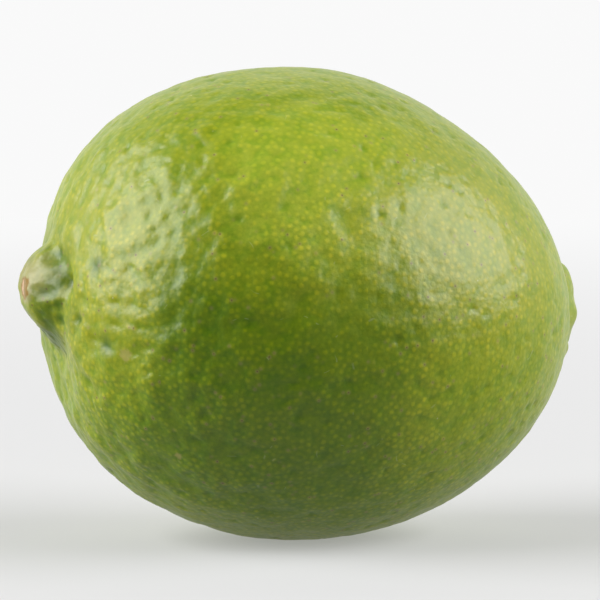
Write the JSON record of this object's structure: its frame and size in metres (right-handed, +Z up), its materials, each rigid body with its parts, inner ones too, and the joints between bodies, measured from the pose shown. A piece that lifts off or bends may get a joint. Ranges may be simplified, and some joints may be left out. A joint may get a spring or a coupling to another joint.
{
  "type": "lime",
  "caption": "Whole green lime lying on its side, with a knobbed stem end, a low nipple at the other end and finely pitted glossy peel.",
  "frame": {"origin": "middle of the fruit's box in plan, on the surface that it rests on", "axes": "+X from the stem end to the nipple end, +Z up, +Y to the back of the fruit as it lies"},
  "size_m": [0.0692, 0.055, 0.0556],
  "materials": {
    "peel": "smooth waxy lime peel, pitted by its oil glands, yellow-green above and deeper green below, with a tan stem scar"
  },
  "bodies": {
    "root": {"lime": "peel"}
  },
  "joints": []
}
